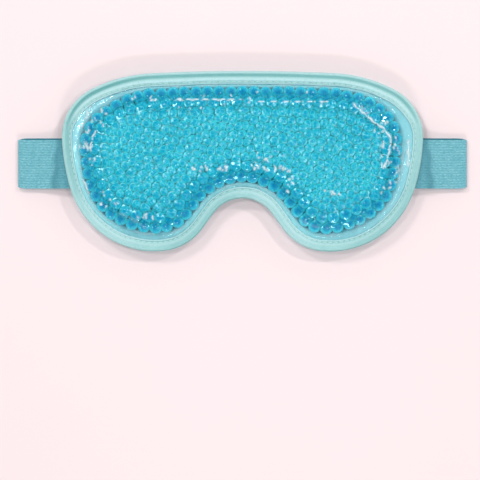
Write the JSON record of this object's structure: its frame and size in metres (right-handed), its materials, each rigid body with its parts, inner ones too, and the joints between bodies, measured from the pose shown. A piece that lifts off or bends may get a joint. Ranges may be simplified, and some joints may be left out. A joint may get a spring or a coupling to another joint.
{
  "type": "eye pillow",
  "caption": "Contoured gel-bead eye pillow: clear bead-filled front pouch, plush back panel, bound edge and elastic head strap with a hook-and-loop closure.",
  "frame": {"origin": "under the middle of the mask, on the surface that its folded strap lies on", "axes": "+X across the face towards the strap's right end, +Y towards the forehead, +Z out of the bead side; the mask lies on its folded strap, bead side up"},
  "size_m": [0.25, 0.1, 0.0191],
  "materials": {
    "film": "clear glossy vinyl film",
    "gel": "wet translucent gel",
    "plush": "short-pile plush",
    "binding": "soft folded binding tape",
    "elastic": "ribbed woven elastic",
    "thread": "polyester sewing thread",
    "hook_tape": "nylon hook tape",
    "loop_tape": "brushed nylon loop tape"
  },
  "bodies": {
    "mask": {"front_film": "film", "back_film": "film", "plush_panel": "plush", "binding_tape": "binding", "binding_stitches_front": "thread", "binding_stitches_back": "thread", "gel_beads_left": "gel", "gel_beads_right": "gel", "left_strap_root": "elastic", "left_strap_fold": "elastic", "left_root_stitches": "thread", "right_strap_root": "elastic", "right_strap_fold": "elastic", "right_root_stitches": "thread"},
    "left_strap": {"left_strap_run": "elastic", "hook_tape_sewn_end": "hook_tape", "hook_tape_stitches": "thread"},
    "hook_tab": {"hook_tape_tab": "hook_tape"},
    "right_strap": {"right_strap_run": "elastic", "loop_tape": "loop_tape", "loop_tape_stitches": "thread"}
  },
  "joints": [
    {"name": "left_strap_unfold", "type": "hinge", "parent": "mask", "child": "left_strap", "pos_m": [-0.123, -0.001, 0.002], "axis": [0, 1, 0], "range_deg": [0, 179], "deforming": ["left_strap_fold"]},
    {"name": "right_strap_unfold", "type": "hinge", "parent": "mask", "child": "right_strap", "pos_m": [0.123, -0.001, 0.002], "axis": [0, -1, 0], "range_deg": [0, 179], "deforming": ["right_strap_fold"]},
    {"name": "hook_tab_peel", "type": "hinge", "parent": "left_strap", "child": "hook_tab", "pos_m": [0.01445, -0.001, 0.0011], "axis": [0, 1, 0], "range_deg": [0, 120]}
  ],
  "couplings": [
    {"joint": "right_strap_unfold", "follows": "left_strap_unfold", "ratio": 1}
  ]
}
